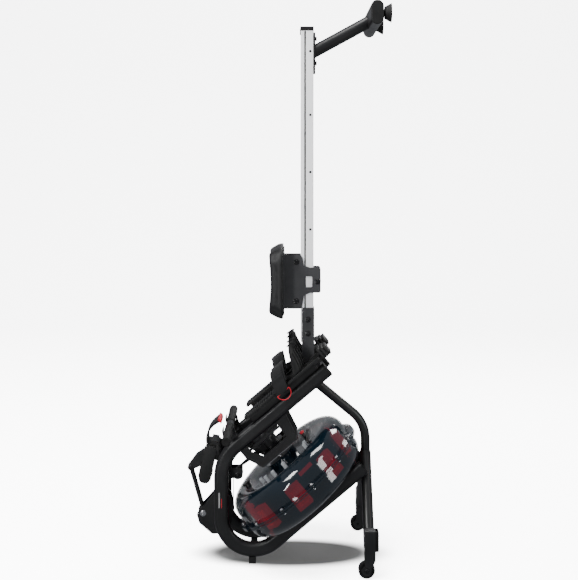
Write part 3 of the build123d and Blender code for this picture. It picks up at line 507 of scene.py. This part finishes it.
# ---------------------------------------------------------------- feet
def ribbon(points, width, thick, across=(1, 0, 0)):
    """Flat webbing: a strip extruded edge by edge along points of s, y, t, then thickened and smoothed."""
    half = Vector(across) * width / 2
    first = Vector(points[0])
    strip = begin("plane", size=MM)
    for vert, at in zip(strip.data.vertices, (first - half, first + half, first - half, first + half)):
        vert.co = at * MM
    shape(strip, everything, lambda: bpy.ops.mesh.remove_doubles(threshold=1e-5), mode="VERT")
    for a, b in zip(points, points[1:]):
        step = Vector(b) - Vector(a)
        shape(strip, lambda m, d: (m - Vector(a)).length < 0.05 * width + 0.4,
              move(*step, extrude=True), mode="EDGE")
    shape(strip, everything, lambda: bpy.ops.mesh.normals_make_consistent(inside=False))
    use(strip, "SUBSURF", levels=2, render_levels=2)
    use(strip, "SOLIDIFY", thickness=thick * MM, offset=0.0)
    soften(strip, thick * 0.3, 2, 50)
    return strip


def foot_straps():
    """Each strap leans back as it goes over the foot; its free end folds down round the pull ring."""
    for side in BOTH:
        y, out = side * PEDAL_Y, side

        def over(offset, high, back=0.0):
            """A point of the arch: offset outwards from the pedal's middle, leaning back as it rises."""
            return 184 + 0.52 * (high - 310) + back, y + out * offset, high

        arch = [over(-56, 312), over(-57, 335), over(-55, 358), over(-44, 375), over(-22, 384), over(0, 386),
                over(22, 384), over(44, 376), over(56, 360), over(59, 336), over(59, 312)]
        flap = [over(30, 387, -8), over(50, 381, -8), over(62, 364, -8), over(65, 340, -6), over(65.5, 320, 0),
                (188, y + out * 66.5, 303)]
        strap = joined(ribbon(arch, 54, 3.4), ribbon(flap, 50, 3.2))
        piece(strap, f"foot_strap_webbing_{NAMES[side]}", "frame", nylon_web, LEAN, smooth=40,
              stands_for=("foot_straps",))
        buckle = slab(196, 232, y + out * 20 - 16, y + out * 20 + 16, 376, 380.5)
        shape(buckle, bottom, inset(5), push(-2))
        soften(buckle, 1.2, 2)
        piece(buckle, f"strap_buckle_{NAMES[side]}", "frame", nylon, LEAN)

        pull = begin("torus", (188, y + out * 65, 304), turn=(math.pi / 2, 0, 0), major_radius=27 * MM,
                     minor_radius=1.7 * MM, major_segments=72, minor_segments=16)
        shape(pull, everything, lambda: bpy.ops.mesh.bisect(
            plane_co=(0, 0, 306 * MM), plane_no=(0, 0, 1), clear_outer=True, use_fill=True))
        bar = drum((161, y + out * 64, 306), (215, y + out * 64, 306), 1.6, 16)
        soften(bar, 0.6, 3)
        piece(joined(pull, bar), f"pull_ring_{NAMES[side]}", "frame", red_rubber, LEAN, smooth=50,
              stands_for=("strap_pull_rings",))


def pedals():
    """Thin ribbed footplates on their beams, and the heel cups that slide on them."""
    for side in BOTH:
        y = side * PEDAL_Y
        plate = slab(150, 371, y - 52, y + 52, 310, 319.5)
        toe = slab(9, 165, y - 38, y + 38, 310.5, 319)
        parts = []
        for part in (plate, toe):
            shape(part, upright_edge, rounded(15, 6), mode="EDGE")
            shape(part, top, inset(4), push(-1.8))
            soften(part, 1.2, 3)
            parts.append(part)
        for s in range(16, 160, 11):
            rib = slab(s, s + 4.5, y - 36.5, y + 36.5, 309, 320.6)
            soften(rib, 1.2, 2)
            parts.append(rib)
        for rail_y in (-30, 30):
            track = slab(170, 366, y + rail_y - 3, y + rail_y + 3, 316, 320.2)
            soften(track, 1, 2)
            parts.append(track)
        for s in range(176, 356, 12):
            notch = slab(s, s + 5, y - 8, y + 8, 316, 319.6)
            soften(notch, 1, 2)
            parts.append(notch)
        block = slab(22, 333, side * 90 - 11, side * 90 + 11, 280, 311)
        soften(block, 2.5, 3)
        parts.append(block)
        for s, high, wide in ((372, 341, 46), (385, 338, 44), (398, 333, 40)):   # stepped end behind the heel
            step = slab(s, s + 13, y - wide, y + wide, 298, high)
            shape(step, upright_edge, rounded(5, 4), mode="EDGE")
            soften(step, 1.6, 3)
            parts.append(step)
        base = slab(335, 410, y - 40, y + 40, 298, 311)
        soften(base, 1.6, 3)
        parts.append(base)
        piece(joined(*parts), f"ribbed_footplate_{NAMES[side]}", "frame", moulded_abs, LEAN,
              stands_for=("footplates",))
        heel_cup(side, y)


def heel_cup(side, y):
    """A curved wall that leans back behind the heel, ribbed outside, on a flat slide."""
    cup = drum((HEEL_S, y, 321), (HEEL_S, y, 424), HEEL_R, 72)
    shape(cup, top, inset(3.8), push(-98))
    shape(cup, upright_edge, lambda: bpy.ops.mesh.subdivide(number_cuts=9), mode="EDGE")
    cutter = slab(0, HEEL_S, y - 60, y + 60, 328, 470)
    cutter.data.transform(Matrix.Translation(Vector((250, 0, 328)) * MM) @ Matrix.Rotation(
        math.radians(17), 4, "Y") @ Matrix.Translation(Vector((-HEEL_S, 0, -328)) * MM))
    carved(cup, cutter)
    soften(cup, 1.3, 3, 40)
    parts = [cup]
    for turn in range(-60, 61, 15):
        rib = slab(43.5, 49, -2, 2, 325, 414 - abs(turn) * 0.4)
        shape(rib, upright_edge, lambda: bpy.ops.mesh.subdivide(number_cuts=9), mode="EDGE")
        soften(rib, 1, 2)
        parts.append(turned(rib, turn, "Z", (HEEL_S, y, 0)))
    rim = begin("torus", (HEEL_S, y, 421), major_radius=HEEL_R * MM, minor_radius=2.6 * MM, major_segments=72,
                minor_segments=12)
    shape(rim, everything, lambda: bpy.ops.mesh.bisect(
        plane_co=(272 * MM, 0, 0), plane_no=(1, 0, 0), clear_inner=True, use_fill=True))
    parts.append(rim)
    for part in parts:                          # the wall leans back and swells in two waves
        for vert in part.data.vertices:
            rise = vert.co.z / MM - 326
            if rise > 0:
                vert.co.x += (0.3 * rise + 2.5 * math.sin(rise / 15)) * MM
    toe = slab(212, 236, y - 16, y + 16, 321, 325)
    soften(toe, 1.5, 3)
    parts.append(toe)
    piece(joined(*parts), f"heel_cup_shell_{NAMES[side]}", f"heel_cup_{NAMES[side]}", moulded_abs,
          LEAN, stands_for=(f"heel_cup_{NAMES[side]}",))


# ---------------------------------------------------------------- handle
def handle():
    """The foam grips and the strap from the clip down to the front pulley."""
    for side in BOTH:
        sleeve = drum((GRIP_X, side * 27, GRIP_Z), (GRIP_X, side * 234, GRIP_Z), 16.3, 48)
        shape(sleeve, lambda m, n: abs(n.y) > 0.9, inset(2.5), push(1.6), inset(5.5), push(-1.0))
        soften(sleeve, 1.6, 4, 40)
        parts = [sleeve]
        for y in (52, 208):                     # end bands pressed into the foam
            band = drum((GRIP_X, side * (y - 2), GRIP_Z), (GRIP_X, side * (y + 2), GRIP_Z), 16.6, 48)
            soften(band, 0.8, 2)
            parts.append(band)
        piece(joined(*parts), f"foam_grip_{NAMES[side]}", "handle", foam, stands_for=("handle_grips",))

    lower, upper = Vector((-267, 0, 166)), Vector((GRIP_X, 0, 460.4))
    steps = [tuple(lower.lerp(upper, i / 6)) for i in range(7)]
    strap = ribbon(steps, 25, 1.7, across=(0, 1, 0))
    piece(strap, "handle_strap_webbing", None, nylon_web, smooth=40, stands_for=("strap_handle_run",))
    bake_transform(strap)


def drive_strap():
    """The webbing that runs under the front pulley, over the guide roller and on to the spool."""
    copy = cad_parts["drive_strap"].copy()
    copy.data = copy.data.copy()
    bpy.context.collection.objects.link(copy)
    copy.parent = None
    copy.matrix_world = UPRIGHT
    for key in list(copy.keys()):
        if key.startswith("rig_"):
            del copy[key]
    copy.hide_render = copy.hide_viewport = False
    shape(copy, everything, lambda: bpy.ops.mesh.remove_doubles(threshold=1e-6))
    soften(copy, 0.4, 2, 50)
    piece(copy, "drive_strap_webbing", "frame", nylon_web, smooth=40, stands_for=("drive_strap",))


# ---------------------------------------------------------------- wheels, feet and caps
def transport_wheels():
    """Tyres with dished faces, ribs round the hub and a screw on the outside."""
    for side in BOTH:
        y = side * WHEEL_Y
        out = side
        tyre = drum((WHEEL_X, y - 10.5, WHEEL_Z), (WHEEL_X, y + 10.5, WHEEL_Z), 29.8, 64)
        for face in BOTH:
            shape(tyre, lambda m, n: n.y * face > 0.9, inset(6.5), push(-2.5), inset(6), inset(4), push(1.6))
        soften(tyre, 1.8, 4, 30)
        piece(tyre, f"wheel_tyre_{NAMES[side]}", f"wheel_{NAMES[side]}", rubber,
              stands_for=(f"wheel_{NAMES[side]}",))
        ribs = []
        for turn in range(0, 360, 60):
            rib = slab(9, 21, -9.2, 9.2, -1.6, 1.6)
            soften(rib, 0.8, 2)
            ribs.append(turned(rib, turn, "Y", (WHEEL_X, y, WHEEL_Z)))
        piece(joined(*ribs), f"wheel_ribs_{NAMES[side]}", f"wheel_{NAMES[side]}", nylon)
        screw = socket_screw((WHEEL_X, y + out * 18, WHEEL_Z), (0, out, 0), 8, 4)
        piece(screw, f"wheel_screw_{NAMES[side]}", "frame", black_oxide)


def floor_feet():
    """Ribbed pads on the leg ends, and the discs of the levelling feet with their stems and nuts."""
    for side in BOTH:
        y = side * WHEEL_Y
        pad = slab(312.5, 324, y - 16, y + 16, 98, 170)
        shape(pad, lengthwise_edge, rounded(5, 4), mode="EDGE")
        parts = [pad]
        for z in range(102, 168, 6):
            rib = slab(321, 325.5, y - 14.5, y + 14.5, z, z + 3.2)
            soften(rib, 0.8, 2)
            parts.append(rib)
        soften(pad, 1, 2)
        piece(joined(*parts), f"ribbed_floor_pad_{NAMES[side]}", "frame", rubber)

    for side in BOTH:
        y = side * FOOT_Y
        foot = drum((352.5, y, FOOT_Z), (377.6, y, FOOT_Z), 35.5, 64)
        shape(foot, lambda m, n: n.x < -0.9, scaled(1, 0.62, 0.62, (352.5, y, FOOT_Z)), inset(9), push(1.5))
        shape(foot, rear, inset(3), push(-1.2), inset(12), push(-1.5))
        soften(foot, 2.4, 4, 25)
        stem = drum((340, y, FOOT_Z), (353, y, FOOT_Z), 8, 24)
        shape(stem, lambda m, n: abs(n.x) < 0.5, inset(0.3, -0.5, each=True))
        nut = drum((348.5, y, FOOT_Z), (352.8, y, FOOT_Z), 12, 6)
        soften(nut, 0.8, 2)
        piece(joined(foot, nut, stem), f"levelling_foot_disc_{NAMES[side]}", f"foot_{NAMES[side]}", rubber,
              stands_for=(f"levelling_foot_{NAMES[side]}",))


def frame_screws():
    """Button-head screws through the stem, the rear plate, the brackets and the beams."""
    spots = []
    for z in (836, 888):
        for side in BOTH:
            spots.append(((77, side * 29, z), (0, side, 0), 8, 4.5))
    for z in (1857, 1950):
        spots.append(((105, 0, z), (1, 0, 0), 8, 5))
    for side in BOTH:
        spots += [((-236, side * 32, 165), (0, side, 0), 9, 5), ((-188, side * 24, 302), (0, side, 0), 8, 4),
                  ((-366, side * 17, 328), (0, side, 0), 7, 4)]
        for z in (1228, 1444, 1660):
            spots.append(((86, side * 25, z), (0, side, 0), 3.4, 1.4))
    made = [socket_screw(*spot) for spot in spots]
    piece(joined(*made), "frame_screws", "frame", black_oxide, smooth=40,
          stands_for=("frame_bolts",))
    plugs = []
    for side in BOTH:
        y0, y1 = sorted((side * 19, side * 21.8))
        plug = drum((86, y0, 1900), (86, y1, 1900), 5.5, 32)
        soften(plug, 0.6, 3)
        plugs.append(plug)
    piece(joined(*plugs), "rail_plugs", "frame", nylon)
    bright = [socket_screw((-318, side * 32, 160), (0, side, 0), 8.5, 5) for side in BOTH]
    piece(joined(*bright), "arm_pivot_screws", "frame", zinc, smooth=40)


# ---------------------------------------------------------------- tank
def tank_details():
    """Screws round the rim, the impeller, and the small parts on top of the dome."""
    rim = []
    for step in range(RIM_SCREWS):
        a = math.radians(15 + 360 / RIM_SCREWS * step)
        x, y = RIM_SCREW_R * math.cos(a), RIM_SCREW_R * math.sin(a)
        rim.append(socket_screw((x, y, 8.5), (0, 0, 1), 6, 3.6))
        nut = drum((x, y, -11.5), (x, y, -7), 5.5, 6)
        soften(nut, 0.5, 2)
        rim.append(nut)
    piece(joined(*rim), "rim_screws", "frame", zinc, LEAN, smooth=40, stands_for=("tank_screws",))

    hub = drum((0, 0, -60), (0, 0, 56), 200, 96)
    shape(hub, top, inset(30, 4), inset(60, -10), inset(60, 8))
    soften(hub, 6, 4, 25)
    fins = []
    for turn in range(0, 360, 45):
        fin = slab(110, 190, -6, 6, 54, 74)
        soften(fin, 3, 3)
        fins.append(turned(fin, turn + 10))
    piece(joined(hub, *fins), "impeller_hub", "impeller", hub_navy, LEAN, stands_for=("impeller",))
    paddles_made = []
    for turn in range(0, 360, 45):
        paddle = slab(186, 223, -38, 38, -52, 42)
        shape(paddle, rear, inset(13), push(-16))
        shape(paddle, top, scaled(1, 0.75, 1, (205, 0, 42)))
        shape(paddle, bottom, scaled(1, 0.8, 1, (205, 0, -52)))
        soften(paddle, 3, 3)
        paddles_made.append(turned(paddle, turn))
    for turn in range(0, 360, 90):
        tie = slab(150, 204, -30, 30, 40, 54)
        shape(tie, top, inset(10), push(-5))
        soften(tie, 2, 3)
        paddles_made.append(turned(tie, turn + 22))
    piece(joined(*paddles_made), "impeller_paddles", "impeller", paddle_red, LEAN)

    neck = drum((124, -34, 86), (124, -34, 121), 7.5, 32)
    shape(neck, top, inset(1), push(1))
    soften(neck, 0.8, 2)
    piece(neck, "vent_neck", "frame", nylon, LEAN)
    dot = drum((124, -34, 120), (124, -34, 127), 9, 32)
    shape(dot, top, inset(2), push(1.2))
    soften(dot, 0.8, 3)
    piece(dot, "vent_cap", "frame", red_rubber, LEAN)

    # A stiffening bar across the dome beside the bracket, with its pale clips.
    bar = slab(128, 140, -120, 30, 96, 104)
    shape(bar, top, inset(2.5), push(-1.5))
    soften(bar, 2, 3)
    piece(bar, "dome_bar", "frame", nylon, LEAN)
    clips = []
    for s, y in ((112, -92), (112, -60), (-96, -70), (-74, -92), (-40, -104), (10, -108)):
        clip = slab(s - 7, s + 7, y - 7, y + 7, 78, 100)
        shape(clip, top, inset(2.5), push(-2))
        soften(clip, 1.5, 3)
        clips.append(clip)
    piece(joined(*clips), "dome_clips", "frame", pale_trim, LEAN)


# ---------------------------------------------------------------- console
def console():
    """The case with its battery bump, the hood with its lugs and the window of the display."""
    case = slab(-21.8, 21.8, -69.5, 69.5, -68.5, 68.5)
    shape(case, lambda m, d: abs(d.y) > 0.9 and m.z < 0, rounded(18, 8), mode="EDGE")
    shape(case, lambda m, d: abs(d.y) > 0.9 and m.z > 60, rounded(8, 5), mode="EDGE")
    shape(case, lambda m, n: n.x > 0.95, inset(5), push(-1.6))
    soften(case, 3, 4, 40)
    bump = slab(-25, -18, -42, 42, -58, -8)
    shape(bump, lambda m, n: n.x < -0.9, inset(3), push(1))
    soften(bump, 2, 3)
    piece(joined(case, bump), "console_case", "console", moulded_abs, CONSOLE,
          stands_for=("console_housing", "battery_cover"))
    hood = slab(19, 33, -66, 66, 58, 76)
    shape(hood, top, scaled(0.55, 0.9, 1, (20, 0, 76)))
    shape(hood, lambda m, n: n.x > 0.7, inset(3), push(-1.4))
    soften(hood, 2, 3)
    lugs = [hood]
    for y in (-58, -46, 46, 58):
        lug = slab(20, 38, y - 2.5, y + 2.5, 22, 72)
        shape(lug, lambda m, d: m.x > 37 and abs(d.y) > 0.9, rounded(8, 5), mode="EDGE")
        soften(lug, 1, 2)
        lugs.append(lug)
    piece(joined(*lugs), "console_hood", "console", moulded_abs, CONSOLE)
    glass = slab(20.5, 22, -55.5, 55.5, -27.5, 55.5)
    shape(glass, lengthwise_edge, rounded(5, 4), mode="EDGE")
    shape(glass, rear, inset(4), push(-0.4))
    soften(glass, 0.5, 2)
    piece(glass, "console_window", "console", lcd, CONSOLE, stands_for=("console_screen",))


def tablet_lip():
    """Red rubber hook that a tablet's edge sits behind, with grip ridges."""
    parts = []
    for y in range(-42, 43, 6):
        ridge = drum((18.5, y, 156), (9, y, 171), 1.6, 12)
        soften(ridge, 0.5, 2)
        parts.append(ridge)
    piece(joined(*parts), "tablet_lip_ridges", "console", red_rubber, CONSOLE)


# ---------------------------------------------------------------- marks, and a painted shadow in the rail's groove
def loop_stripes():
    """Two plain stripes printed on the near loop's straight front."""
    marks = ((-252, 205, 262, 3.0, white_ink, "pale_stripe"), (-243, 205, 240, 2.2, red_rubber, "red_stripe"))
    for x, z0, z1, wide, ink, name in marks:
        for side in BOTH:
            y0, y1 = sorted((side * 104.7, side * 105.3))
            mark = slab(x - wide / 2, x + wide / 2, y0, y1, z0, z1)
            shape(mark, crosswise_edge, rounded(0.9, 3), mode="EDGE")
            soften(mark, 0.1, 1)
            piece(mark, f"{name}_{NAMES[side]}", "frame", ink)


def rail_groove():
    """A thin black sheet at the bottom of the rail's groove on each side: a painted shadow of the groove, not a
    part of the rail.
    """
    for side in BOTH:
        y0, y1 = sorted((side * 20.6, side * 21.4))
        # The black rubber sheet only paints the groove's shadow.
        strip = slab(63.6, 69.4, y0, y1, 806, 1976)
        soften(strip, 0.2, 1)
        piece(strip, f"rail_groove_painted_shadow_{NAMES[side]}", "frame", rubber)


saddle()
carriage_details()
foot_straps()
pedals()
handle()
drive_strap()
transport_wheels()
floor_feet()
frame_screws()
tank_details()
console()
tablet_lip()
loop_stripes()
rail_groove()


# ---------------------------------------------------------------- floor, light and camera
def set_stage():
    """A pale sheet of paper: floor, a wide bend and a wall. It is lit by a lamp of its own. The soft shadow under
    the machine is painted into its colour and glow, not cast.
    """
    sheet = begin("plane", (0, 0, 0), size=1, stretch=(30, 16, 1))
    shape(sheet, lambda m, d: m.y > 7900, move(0, 0, 12000, extrude=True), mode="EDGE")
    shape(sheet, lambda m, d: abs(m.y - 8000) < 5 and abs(m.z) < 5 and abs(d.x) > 0.9, rounded(3000, 12),
          mode="EDGE")
    sheet.name = "paper_sweep"
    bpy.ops.object.shade_smooth()
    paper = grained("white_paper_with_painted_shadow", "#f6f6f6", "#fcfcfc", 6.0, 0.02, 0.95, patch=400, level=0.0)
    shader = next(n for n in paper.node_tree.nodes if n.type == "BSDF_PRINCIPLED")
    # Painted shadow: inside an ellipse under the machine the paper's colour darkens to grey and its glow drops.
    place = add(paper, "ShaderNodeMapping", {
        "Vector": add(paper, "ShaderNodeTexCoord").outputs["Object"], "Location": (-0.02, 0.02, 0),
        "Scale": (1 / PAINTED_SHADOW_LONG, 1 / PAINTED_SHADOW_WIDE, 0.2)})
    far = add(paper, "ShaderNodeVectorMath", {0: place.outputs[0]}, operation="LENGTH")
    painted_shadow = add(paper, "ShaderNodeMapRange", {"Value": far.outputs["Value"], "From Min": 0.62, "From Max": 1.0,
                                              "To Min": 1.0, "To Max": 0.0}, interpolation_type="SMOOTHSTEP")
    painted_shadow_tone = add(paper, "ShaderNodeMix", {"Factor": painted_shadow.outputs[0], "A": linear("#fafafa"),
                                       "B": linear("#4c4c4c")}, data_type="RGBA")
    # The paper's glow falls from PAPER_GLOW to 0.1 inside the painted shadow.
    glow = add(paper, "ShaderNodeMapRange", {"Value": painted_shadow.outputs[0], "To Min": PAPER_GLOW, "To Max": 0.1})
    for socket, source in (("Base Color", painted_shadow_tone.outputs["Result"]), ("Emission Strength", glow.outputs[0])):
        paper.node_tree.links.new(source, shader.inputs[socket])
    shader.inputs["Emission Color"].default_value = linear("#ffffff")
    sheet.data.materials.append(paper)
    sheet.visible_glossy = sheet.visible_diffuse = False
    return sheet


def lamp(name, place, aim, size, power, only=None):
    """An area light; one that has a receiver lights that alone."""
    data = bpy.data.lights.new(name, "AREA")
    data.shape, data.size, data.size_y = "RECTANGLE", size[0], size[1]
    data.energy = power
    obj = bpy.data.objects.new(name, data)
    bpy.context.collection.objects.link(obj)
    obj.location = place
    obj.rotation_euler = (Vector(aim) - Vector(place)).to_track_quat("-Z", "Y").to_euler()
    group = bpy.data.collections.new(f"{name}_receivers")
    if only:
        group.objects.link(only)
        obj.light_linking.receiver_collection = group
        obj.visible_glossy = False
    return obj


PAPER_GLOW = 5.0
PAINTED_SHADOW_LONG, PAINTED_SHADOW_WIDE = 0.42, 0.16     # half the length and width of the shadow painted into the paper under the machine, m
paper_sweep = set_stage()
world = bpy.data.worlds.new("studio")
bpy.context.scene.world = world
world.use_nodes = True
world.node_tree.nodes["Background"].inputs["Color"].default_value = linear("#eef2f8")
world.node_tree.nodes["Background"].inputs["Strength"].default_value = 0.32
lamp("paper_light", (-1.5, -1.0, 7.0), (0, 0.2, 0), (3.5, 3.5), 2600, only=paper_sweep)
lamp("key_softbox", (-2.4, -2.2, 3.2), (0, 0, 0.7), (1.3, 1.3), 120)
lamp("fill_softbox", (2.8, -2.2, 1.6), (0.1, 0, 0.6), (0.7, 2.2), 40)
lamp("rim_softbox", (1.6, 2.2, 3.0), (0.1, 0, 0.6), (1.6, 1.2), 120)
lamp("top_softbox", (0.2, -0.4, 3.8), (0.1, 0, 0.4), (1.6, 0.9), 70)
lamp("rail_light", (-0.7, -2.6, 2.0), (0.08, 0, 1.4), (0.5, 1.6), 60, only=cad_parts["rail"])
lamp("strip_light", (-0.9, -2.6, 0.55), (0.05, 0, 0.35), (0.2, 0.9), 16)

camera_data = bpy.data.cameras.new("camera")
camera = bpy.data.objects.new("camera", camera_data)
bpy.context.collection.objects.link(camera)
camera.location = (0.010, -3.640, 1.467)
camera.rotation_euler = (math.radians(90), 0, 0)
camera_data.sensor_width, camera_data.lens = 36, 59.5
camera_data.shift_x, camera_data.shift_y = -0.002, -0.2138
bpy.context.scene.camera = camera
